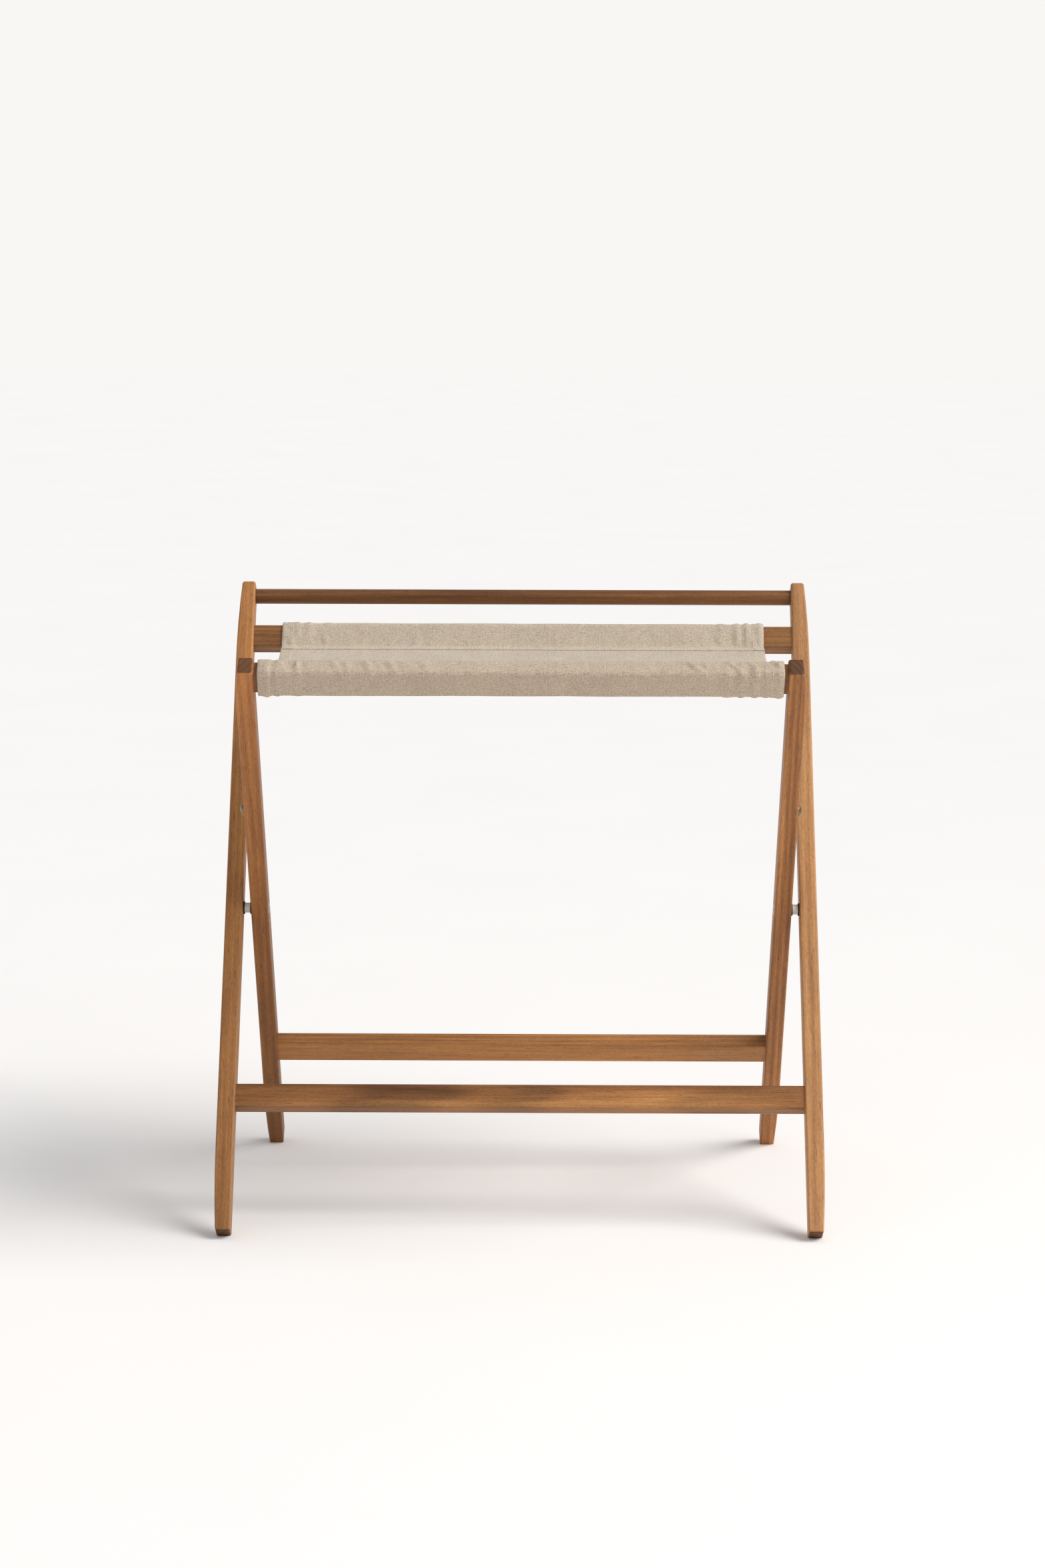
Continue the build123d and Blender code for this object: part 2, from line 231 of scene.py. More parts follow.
class LegFrame:
    """Directions in one folding frame, from the pivot: back is square to the legs, up is along them."""

    def __init__(self, node):
        low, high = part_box(node)
        middle = (low + high) / 2
        self.up = Vector((0, middle.y - pivot.y, middle.z - pivot.z)).normalized()
        self.back = Vector((0, self.up.z, -self.up.y))
        self.lean = math.atan2(self.up.y, self.up.z)

    def point(self, back, up):
        return Vector((0, pivot.y, pivot.z)) + self.back * back + self.up * up

    def section(self, node):
        """Half depth, lowest and highest of a rail in this frame."""
        places = [v.co - Vector((0, pivot.y, pivot.z)) for v in frame["nodes"][node].data.vertices]
        ups = [p.dot(self.up) for p in places]
        return max(p.dot(self.back) for p in places), min(ups), max(ups)


# ---- curves in the YZ plane

def arc(centre, radius, start, end, count=6):
    """Points of an arc round centre, from direction start to direction end, the short way."""
    a = math.atan2(start.z, start.y)
    b = math.atan2(end.z, end.y)
    turn = (b - a + math.pi) % (2 * math.pi) - math.pi
    angles = [a + turn * i / (count - 1) for i in range(count)]
    return [centre + radius * Vector((0, math.cos(t), math.sin(t))) for t in angles]


def bezier(a, b, from_a, into_b, reach, count=12):
    """A curve from a to b that leaves along from_a and arrives along into_b."""
    c, d = a + from_a * reach, b - into_b * reach
    points = []
    for i in range(count + 1):
        t = i / count
        r = 1 - t
        points.append(a * r**3 + c * (3 * r * r * t) + d * (3 * r * t * t) + b * t**3)
    return points


def resample(points, steps):
    """Points at the given distances along a line of points."""
    along = [0.0]
    for a, b in zip(points, points[1:]):
        along.append(along[-1] + (b - a).length)
    flat = np.array([[p.y, p.z] for p in points])
    ys = np.interp(steps, along, flat[:, 0])
    zs = np.interp(steps, along, flat[:, 1])
    return [Vector((0, y, z)) for y, z in zip(ys, zs)]


def length_of(points):
    return sum((b - a).length for a, b in zip(points, points[1:]))


def normals_of(points):
    """Unit normals of a line in the YZ plane."""
    found = []
    for i in range(len(points)):
        along = points[min(i + 1, len(points) - 1)] - points[max(i - 1, 0)]
        found.append(Vector((0, -along.z, along.y)).normalized())
    return found


def steps_between(length, spacing, edge):
    """Distances from 0 to length, with closer ones near both ends."""
    count = max(2, round((length - 4 * edge) / spacing))
    inner = [2 * edge + (length - 4 * edge) * i / count for i in range(count + 1)]
    return [0.0, edge] + inner + [length - edge, length]


# ---- folds of the cloth

def bump(t):
    """A smooth hill, 1 at 0 and 0 beyond 1 on either side."""
    t = abs(t)
    return 0.0 if t >= 1 else (1 - t * t) ** 2


def ease(t):
    """A smooth step from 0 at 0 to 1 at 1."""
    t = min(1.0, max(0.0, t))
    return t * t * (3 - 2 * t)


class Puckers:
    """Small tension folds along one seam: more and deeper towards its two ends."""

    def __init__(self, seed, half, placed):
        draw = random.Random(seed)
        self.folds = list(placed)
        for side in (-1, 1):
            place = half - PUCKER_INSET
            while place > PUCKER_FREE_MIDDLE:
                strength = 0.25 + 0.75 * (place / half) ** 3
                height = strength * draw.uniform(*PUCKER_HEIGHTS)
                width = draw.uniform(*PUCKER_WIDTHS)
                slant = draw.uniform(*PUCKER_SLANTS)
                self.folds.append((side * place, height, width, slant))
                place -= draw.uniform(*PUCKER_SPACINGS)

    def at(self, x, away):
        """Height at x, at a signed distance from the seam's crest along the cloth."""
        total = 0.0
        for place, height, width, slant in self.folds:
            centre = place + slant * away
            if abs(x - centre) < 3 * width:
                hill = bump((x - centre) / width)
                hollow = bump((x - centre) / (2.6 * width))
                total += height * (hill - 0.45 * hollow)
        return total


def soft_noise(x, s, size, seed):
    """Noise of a given size over the flat cloth, about -1 to 1."""
    return noise.noise(Vector((x / size, s / size, seed * 7.13)))


def hem_profile(x):
    """0 on the single cloth, 1 on the hem."""
    return ease((abs(x) - (HALF_WIDTH - HEM_WIDTH)) / HEM_STEP + 0.5)


def cloth_thickness(x):
    thick = THICKNESS + (HEM_THICKNESS - THICKNESS) * hem_profile(x)
    edge = HALF_WIDTH - abs(x)
    return thick * (0.45 + 0.55 * ease(edge / EDGE_FADE))


# ---- meshes

def link(name, mesh):
    piece = bpy.data.objects.new(name, mesh)
    bpy.context.scene.collection.objects.link(piece)
    return piece


def finish_mesh(mesh, angle=50):
    """Smooth shading, with sharp edges above an angle in degrees."""
    mesh.validate()
    mesh.update()
    mesh.polygons.foreach_set("use_smooth", [True] * len(mesh.polygons))
    mesh.set_sharp_from_angle(angle=math.radians(angle))


def grid_faces(rows, across):
    """Faces of a grid of points that are numbered row by row."""
    faces = []
    for j in range(rows - 1):
        for i in range(across - 1):
            a = j * across + i
            faces.append((a, a + 1, a + across + 1, a + across))
    return faces


def strip(name, inner, normals, thick, runs):
    """A closed sheet of cloth from its inner face, its normals and its thickness, with UVs in metres."""
    rows, across = inner.shape[:2]
    outer = inner + normals * thick[..., None]
    places = np.concatenate([outer.reshape(-1, 3), inner.reshape(-1, 3)])
    half = rows * across
    faces = []
    for face in grid_faces(rows, across):
        faces.append(face)
        faces.append(tuple(half + k for k in face[::-1]))
    # side edges, then the two tips
    edges = [(j * across + i, across, i > 0) for j in range(rows - 1) for i in (0, across - 1)]
    edges += [(j * across + i, 1, j > 0) for i in range(across - 1) for j in (0, rows - 1)]
    for a, step, flip in edges:
        ring = (a, a + step, half + a + step, half + a)
        faces.append(ring[::-1] if flip else ring)
    mesh = bpy.data.meshes.new(name)
    mesh.from_pydata(places.tolist(), [], faces)
    layer = mesh.uv_layers.new(name="cloth")
    coordinates = np.array([[(x, r) for x in COLUMNS] for r in runs]).reshape(-1, 2)
    coordinates = np.concatenate([coordinates, coordinates])
    indices = np.zeros(len(mesh.loops), dtype=np.int64)
    mesh.loops.foreach_get("vertex_index", indices)
    layer.data.foreach_set("uv", coordinates[indices].ravel())
    turn_outwards(mesh)
    finish_mesh(mesh)
    return link(name, mesh)


def turn_outwards(mesh):
    """Turns a closed mesh outwards if its faces point in."""
    mesh.calc_loop_triangles()
    volume = 0.0
    places = [v.co for v in mesh.vertices]
    for triangle in mesh.loop_triangles:
        a, b, c = (places[k] for k in triangle.vertices)
        volume += a.dot(b.cross(c))
    if volume < 0:
        mesh.flip_normals()


def stitches(name, lines):
    """Short raised threads along lines of (place, normal) pairs."""
    places, faces = [], []
    for line in lines:
        along = [0.0]
        for (a, _), (b, _) in zip(line, line[1:]):
            along.append(along[-1] + (b - a).length)
        count = int(along[-1] / STITCH_PITCH)
        start = (along[-1] - count * STITCH_PITCH) / 2
        k = 0
        for n in range(count):
            middle = start + (n + 0.5) * STITCH_PITCH
            while along[k + 1] < middle:
                k += 1
            share = (middle - along[k]) / (along[k + 1] - along[k])
            centre = line[k][0].lerp(line[k + 1][0], share)
            normal = line[k][1].lerp(line[k + 1][1], share).normalized()
            ahead = (line[k + 1][0] - line[k][0]).normalized()
            add_stitch(places, faces, centre, ahead, normal)
    mesh = bpy.data.meshes.new(name)
    mesh.from_pydata(places, [], faces)
    finish_mesh(mesh, 80)
    return link(name, mesh)


def add_stitch(places, faces, centre, ahead, normal):
    """One stitch: a thread that comes up, lies on the cloth and goes down again."""
    across = ahead.cross(normal).normalized()
    base = len(places)
    for share, rise, size in STITCH_SECTIONS:
        middle = centre + ahead * (share * STITCH_LENGTH) + normal * (rise * THREAD_RADIUS)
        for k in range(STITCH_SIDES):
            turn = 2 * math.pi * k / STITCH_SIDES
            offset = across * math.cos(turn) + normal * math.sin(turn)
            places.append(middle + offset * (size * THREAD_RADIUS))
    for s in range(len(STITCH_SECTIONS) - 1):
        for k in range(STITCH_SIDES):
            a = base + s * STITCH_SIDES + k
            b = base + s * STITCH_SIDES + (k + 1) % STITCH_SIDES
            faces.append((a, b, b + STITCH_SIDES, a + STITCH_SIDES))
    last = base + (len(STITCH_SECTIONS) - 1) * STITCH_SIDES
    faces.append(tuple(range(base + STITCH_SIDES - 1, base - 1, -1)))
    faces.append(tuple(range(last, last + STITCH_SIDES)))


# ---- the sling

def panel_line():
    """The middle of the panel's cloth, from the rear rail to the front rail."""
    half, low, _ = tall.section("rear_sling_rail")
    start = tall.point(-half - REAR_GAPS["front"] - PANEL_START[0], low - PANEL_START[1])
    half, _, high = short.section("front_sling_rail")
    end = short.point(half - PANEL_END[0], high + PANEL_END[1])
    across = end - start
    count = 400
    points = []
    for i in range(count + 1):
        t = i / count
        points.append(start + across * t - Vector((0, 0, 4 * PANEL_SAG * t * (1 - t))))
    return points


def tunnel_line(leg, node, attach, along, gaps, rear):
    """The inner face of a tunnel: from the upper flap's tip, round the rail, to the lower flap's tip.

    attach gives the panel's middle at a distance from the seam, and along the direction there."""
    half, low, high = leg.section(node)
    front, back_face = -half - gaps["front"], half + gaps["rear"]
    top, bottom = high + gaps["top"], low - gaps["bottom"]
    up, back = leg.up, leg.back
    lift = Vector((0, 0, THICKNESS / 2 + LAYER_GAP))
    upper = [attach(FLAP_LENGTH * (1 - i / 8)) + lift for i in range(8)]
    lower = [attach(UNDER_FLAP_LENGTH - UNDER_FLAP_FLAT * i / 5) - lift for i in range(5)][::-1]
    # centres of the rounded corners
    r = TUNNEL_CORNER
    top_front, top_rear = leg.point(front + r, top - r), leg.point(back_face - r, top - r)
    low_front, low_rear = leg.point(front + r, bottom + r), leg.point(back_face - r, bottom + r)
    if rear:
        wall = leg.point(front, low + REAR_WALL_START)
        leave = leg.point(front + REAR_LEAVE, bottom)
        path = upper + bezier(upper[-1], wall, -along(FLAP_LENGTH / 8), up, REAR_JOINS[0])[1:]
        path += arc(top_front, r, -back, up)
        path += arc(top_rear, r, up, back)
        path += arc(low_rear, r, back, -up)
        path += bezier(leave, lower[0], -back, along(0.009), REAR_JOINS[1])
    else:
        crest = leg.point(back_face - FRONT_CREST, top)
        leave = leg.point(back_face, low + FRONT_LEAVE)
        path = upper[:-1] + bezier(upper[-2], crest, -along(0.004), -back, FRONT_JOINS[0])[1:]
        path += arc(top_front, r, up, -back)
        path += arc(low_front, r, -back, -up)
        path += arc(low_rear, r, -up, back)
        away = (up + back * 0.12).normalized()
        path += bezier(leave, lower[0], away, along(0.009), FRONT_JOINS[1])
    return path + lower[1:]


def tunnel(name, leg, node, attach, along, gaps, rear, puckers, gathers, seed):
    """One tunnel with its two flaps, the lines where it is stitched, and its flat length."""
    path = tunnel_line(leg, node, attach, along, gaps, rear)
    length = length_of(path)
    steps = steps_between(length, WRAP_CELL, EDGE_CELL)
    base = resample(path, steps)
    # the cloth's outer side is away from the rail: up on the upper flap
    normals = normals_of(base)
    if normals[2].z < 0:
        normals = [-n for n in normals]
    half, low, high = leg.section(node)
    wrap = 2 * (2 * half + high - low)
    inner = np.zeros((len(steps), len(COLUMNS), 3))
    outward = np.zeros_like(inner)
    thick = np.zeros((len(steps), len(COLUMNS)))
    for j, s in enumerate(steps):
        # from the crest, where the upper flap ends and the wrap begins
        away = s - FLAP_LENGTH
        on_wrap = ease(away / WRAP_START) * ease((FLAP_LENGTH + wrap - s) / WRAP_END)
        near_crest = math.exp(-((away / (PUCKER_REACH if away < 0 else WRAP_PUCKER_REACH)) ** 2))
        for i, x in enumerate(COLUMNS):
            rise = puckers.at(x, -away if rear else away) * PUCKER_HEIGHT * near_crest
            rise *= 0.25 + 0.75 * on_wrap
            loose = BROAD_SLACK * (soft_noise(x, s, BROAD_SIZE, seed) + 0.5)
            loose += FINE_SLACK * soft_noise(x, s, FINE_SIZE, seed + 3)
            rise += (SLACK + max(0.0, loose)) * on_wrap
            for place, width, depth in gathers:
                wander = WANDER * soft_noise(place, s, WANDER_SIZE, seed + 5)
                rise += depth * bump((x - place - wander) / width) * on_wrap
            lean = LEAN * on_wrap * soft_noise(x, s, LEAN_SIZE, seed + 8)
            inner[j, i] = base[j] + normals[j] * max(0.0, rise) + Vector((x + lean, 0, 0))
            outward[j, i] = normals[j]
            thick[j, i] = cloth_thickness(x) * (0.5 + 0.5 * ease(min(s, length - s) / TIP_FADE))
    piece = strip(name, inner, outward, thick, steps)
    outer = inner + outward * thick[..., None]
    lines = [row_line(outer, outward, steps, s) for s in (*FLAP_STITCHES, length - UNDER_FLAP_STITCHES)]
    start, end = TUNNEL_STITCH_ENDS, length - TUNNEL_STITCH_ENDS
    for side in (-1, 1):
        lines.append(side_line(outer, outward, side, start, end, steps))
    return piece, lines, length


def row_line(outer, outward, steps, at):
    """Places and normals across the cloth at one distance along it."""
    j = int(np.argmin([abs(s - at) for s in steps]))
    across = outer.shape[1]
    return [(Vector(outer[j, i]), Vector(outward[j, i])) for i in range(3, across - 3)]


def side_line(outer, outward, side, start, end, steps):
    """Places and normals along the stitched edge of the hem on one side."""
    x = side * (HALF_WIDTH - HEM_STITCHES)
    i = int(np.argmin([abs(c - x) for c in COLUMNS]))
    rows = [j for j, s in enumerate(steps) if start <= s <= end]
    return [(Vector(outer[j, i]), Vector(outward[j, i])) for j in rows]


def sim_panel(line, front, rear):
    """Settles the panel between its held ends, and gives how far each point of a grid has moved."""
    length = length_of(line)
    rows = round(length / CELL) + 1
    across = round(2 * HALF_WIDTH / CELL) + 1
    steps = [length * j / (rows - 1) for j in range(rows)]
    base = resample(line, steps)
    grid = np.zeros((rows, across, 3))
    cut = np.zeros((rows, across, 3))
    held = []
    for j, s in enumerate(steps):
        away = min(s, length - s)
        for i in range(across):
            x = -HALF_WIDTH + 2 * HALF_WIDTH * i / (across - 1)
            grid[j, i] = Vector((x, 0, seam_rise(x, s, length, front, rear))) + base[j]
            outer = 0.4 + 0.6 * (abs(x) / HALF_WIDTH) ** 2
            gathered = 1 + GATHER * math.exp(-away / GATHER_REACH) * outer
            cut[j, i] = (x * gathered, s * EXTRA_LENGTH, 0)
            if away < PINNED:
                held.append(j * across + i)
    shaken = grid.copy()
    for j, s in enumerate(steps):
        if PINNED <= s <= length - PINNED:
            for i in range(across):
                x = grid[j, i, 0]
                shaken[j, i, 2] += sum(h * soft_noise(x, s, size, seed) for h, size, seed in RIPPLES)
    mesh = bpy.data.meshes.new("panel_sim")
    mesh.from_pydata(shaken.reshape(-1, 3).tolist(), [], grid_faces(rows, across))
    mesh.update()
    sheet = link("panel_sim", mesh)
    sheet.shape_key_add(name="held")
    key = sheet.shape_key_add(name="cut")
    for k, place in enumerate(cut.reshape(-1, 3)):
        key.data[k].co = place
    key.value = 0.0
    group = sheet.vertex_groups.new(name="held")
    group.add(held, 1.0, "REPLACE")
    cloth = sheet.modifiers.new("cloth", "CLOTH")
    for setting, value in CLOTH_SETTINGS.items():
        setattr(cloth.settings, setting, value)
    cloth.settings.vertex_group_mass = group.name
    cloth.settings.rest_shape_key = key
    cloth.collision_settings.use_collision = False
    cloth.point_cache.frame_start = 1
    cloth.point_cache.frame_end = SIM_FRAMES
    scene = bpy.context.scene
    for number in range(1, SIM_FRAMES + 1):
        scene.frame_set(number)
    settled = sheet.evaluated_get(bpy.context.evaluated_depsgraph_get())
    settled = bpy.data.meshes.new_from_object(settled)
    places = np.zeros(len(settled.vertices) * 3)
    settled.vertices.foreach_get("co", places)
    bpy.data.meshes.remove(settled)
    bpy.data.objects.remove(sheet)
    scene.frame_set(1)
    return steps, across, places.reshape(rows, across, 3) - grid


def seam_rise(x, s, length, front, rear):
    """The ripple that the panel shares with the flaps at its two seams."""
    to_front = length - s
    at_front = front.at(x, -to_front) if to_front < PUCKER_LIMIT else 0.0
    at_rear = rear.at(x, s) if s < PUCKER_LIMIT else 0.0
    near_front = math.exp(-((to_front / PUCKER_REACH) ** 2))
    near_rear = math.exp(-((s / PUCKER_REACH) ** 2))
    return PANEL_PUCKER_HEIGHT * (max(0.0, at_front) * near_front + max(0.0, at_rear) * near_rear)


def sampled(steps, across, moved, s, x):
    """Smoothly interpolated value of a simulated grid."""
    def weights(t):
        return (
            ((-t + 2) * t - 1) * t / 2,
            (((3 * t - 5) * t) * t + 2) / 2,
            ((-3 * t + 4) * t + 1) * t / 2,
            ((t - 1) * t * t) / 2,
        )
    v = s / steps[-1] * (len(steps) - 1)
    u = (x + HALF_WIDTH) / (2 * HALF_WIDTH) * (across - 1)
    j, i = min(int(v), len(steps) - 2), min(int(u), across - 2)
    wv, wu = weights(v - j), weights(u - i)
    total = np.zeros(3)
    for a in range(4):
        row = min(max(j + a - 1, 0), len(steps) - 1)
        for b in range(4):
            total += wv[a] * wu[b] * moved[row, min(max(i + b - 1, 0), across - 1)]
    return total


def make_panel(line, front, rear):
    """The panel, the lines where it is stitched, and its flat length."""
    steps_sim, across, moved = sim_panel(line, front, rear)
    length = length_of(line)
    steps = steps_between(length, FINE, EDGE_CELL)
    base = resample(line, steps)
    middle = np.zeros((len(steps), len(COLUMNS), 3))
    for j, s in enumerate(steps):
        crease = 0.0
        for place, height in STORAGE_CREASES:
            crease += height * bump((s - place * length) / CREASE_WIDTH)
        free = ease((s - PINNED) / FREE_STEP) * ease((length - PINNED - s) / FREE_STEP)
        for i, x in enumerate(COLUMNS):
            wave = crease * (0.7 + 0.6 * soft_noise(x, s, 0.09, 6))
            pull = 0.0
            for height, wide, far, seed in PULL_FOLDS:
                pull += height * noise.noise(Vector((x / wide, s / far, seed)))
            rise = seam_rise(x, s, length, front, rear) + (wave + pull) * free
            middle[j, i] = base[j] + Vector((x, 0, rise))
            middle[j, i] += sampled(steps_sim, across, moved, s, x)
    along = np.gradient(middle, axis=0)
    sideways = np.gradient(middle, axis=1)
    normals = np.cross(along, sideways)
    normals /= np.linalg.norm(normals, axis=2)[..., None]
    if normals[len(steps) // 2, len(COLUMNS) // 2, 2] < 0:
        normals = -normals
    thick = np.array([[cloth_thickness(x) for x in COLUMNS] for _ in steps])
    thick[:2] *= 0.8
    thick[-2:] *= 0.8
    # the flaps lie on the hems too, so under them the panel stays one layer thick
    for j, s in enumerate(steps):
        if min(s, length - s) < PINNED:
            thick[j] = np.minimum(thick[j], THICKNESS)
    inner = middle - normals * (thick[..., None] / 2)
    piece = strip("sling_panel_cloth", inner, normals, thick, steps)
    outer = inner + normals * thick[..., None]
    start, end = PANEL_STITCH_ENDS[0], length - PANEL_STITCH_ENDS[1]
    lines = []
    for side in (-1, 1):
        for shown, facing in ((outer, normals), (inner, -normals)):
            lines.append(side_line(shown, facing, side, start, end, steps))
    return piece, lines, length


# ---- node helpers

def colour(red, green, blue):
    """An sRGB colour, 0 to 255, as linear RGBA."""
    def linear(value):
        value /= 255
        return value / 12.92 if value <= 0.04045 else ((value + 0.055) / 1.055) ** 2.4
    return (linear(red), linear(green), linear(blue), 1.0)


class Nodes:
    """A node material with short calls for the nodes used here."""

    def __init__(self, name):
        self.material = bpy.data.materials.new(name)
        self.material.use_nodes = True
        self.tree = self.material.node_tree
        self.tree.nodes.clear()
        self.out = self.add("ShaderNodeOutputMaterial")
        self.shader = self.add("ShaderNodeBsdfPrincipled")
        self.link(self.shader.outputs[0], self.out.inputs[0])

    def add(self, kind, **values):
        node = self.tree.nodes.new(kind)
        for key, value in values.items():
            setattr(node, key, value)
        return node

    def link(self, source, target):
        self.tree.links.new(source, target)

    def feed(self, target, value):
        if isinstance(value, bpy.types.NodeSocket):
            self.link(value, target)
        else:
            target.default_value = value

    def math(self, operation, *values):
        node = self.add("ShaderNodeMath", operation=operation)
        for socket, value in zip(node.inputs, values):
            self.feed(socket, value)
        return node.outputs[0]

    def total(self, *pairs):
        """The sum of (value, weight) pairs."""
        terms = [self.math("MULTIPLY", value, weight) for value, weight in pairs]
        result = terms[0]
        for term in terms[1:]:
            result = self.math("ADD", result, term)
        return result

    def place(self, vector, location=(0, 0, 0), rotation=(0, 0, 0), scale=(1, 1, 1)):
        node = self.add("ShaderNodeMapping")
        self.link(vector, node.inputs[0])
        node.inputs["Location"].default_value = location
        node.inputs["Rotation"].default_value = rotation
        node.inputs["Scale"].default_value = scale
        return node.outputs[0]

    def noise(self, vector, scale, detail=2.0, rough=0.5, distortion=0.0):
        node = self.add("ShaderNodeTexNoise")
        self.link(vector, node.inputs["Vector"])
        node.inputs["Scale"].default_value = scale
        node.inputs["Detail"].default_value = detail
        node.inputs["Roughness"].default_value = rough
        node.inputs["Distortion"].default_value = distortion
        return node.outputs[0]

    def ramp(self, value, stops, smooth=False):
        node = self.add("ShaderNodeValToRGB")
        self.link(value, node.inputs[0])
        if smooth:
            node.color_ramp.interpolation = "EASE"
        elements = node.color_ramp.elements
        while len(elements) < len(stops):
            elements.new(0.5)
        for element, (position, shade) in zip(elements, stops):
            element.position = position
            element.color = shade if len(shade) == 4 else (*shade, 1.0)
        return node.outputs[0]

    def grey(self, value, low, high, from_value=0.0, to_value=1.0):
        node = self.add("ShaderNodeMapRange", clamp=True)
        self.link(value, node.inputs[0])
        node.inputs[1].default_value = low
        node.inputs[2].default_value = high
        node.inputs[3].default_value = from_value
        node.inputs[4].default_value = to_value
        return node.outputs[0]

    def mix(self, factor, first, second, kind="MIX"):
        node = self.add("ShaderNodeMix", data_type="RGBA", blend_type=kind)
        self.feed(node.inputs[0], factor)
        self.feed(node.inputs[6], first)
        self.feed(node.inputs[7], second)
        return node.outputs[2]

    def shaded(self, base, value):
        """A colour times a grey value."""
        return self.mix(1.0, base, self.combine(value, value, value), "MULTIPLY")

    def separate(self, vector):
        node = self.add("ShaderNodeSeparateXYZ")
        self.link(vector, node.inputs[0])
        return node.outputs

    def combine(self, x, y, z):
        node = self.add("ShaderNodeCombineXYZ")
        for socket, value in zip(node.inputs, (x, y, z)):
            self.feed(socket, value)
        return node.outputs[0]

    def bump(self, height, strength, distance):
        node = self.add("ShaderNodeBump")
        self.link(height, node.inputs["Height"])
        node.inputs["Strength"].default_value = strength
        node.inputs["Distance"].default_value = distance
        return node.outputs[0]

    def surface(self, **values):
        for key, value in values.items():
            self.feed(self.shader.inputs[key.replace("_", " ")], value)


def use(piece, material):
    """Gives a whole piece one material. A CAD part keeps its mesh, so its slots link to the object."""
    if not piece.get("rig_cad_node"):
        piece.data.materials.clear()
    if piece.material_slots:
        for slot in piece.material_slots:
            slot.link = "OBJECT"
            slot.material = material
    else:
        piece.data.materials.append(material)


# ---- wood

def shades_of(mean, contrast):
    """Five shades from the darkest, redder streaks to the lightest, yellower ones."""
    steps = (
        (0.50, 0.46, 0.44), (0.74, 0.71, 0.70), (0.98, 0.98, 0.98),
        (1.21, 1.25, 1.25), (1.42, 1.54, 1.58),
    )
    linear = colour(*mean)
    return [tuple(linear[k] * (1 + contrast * (step[k] - 1)) for k in range(3)) for step in steps]


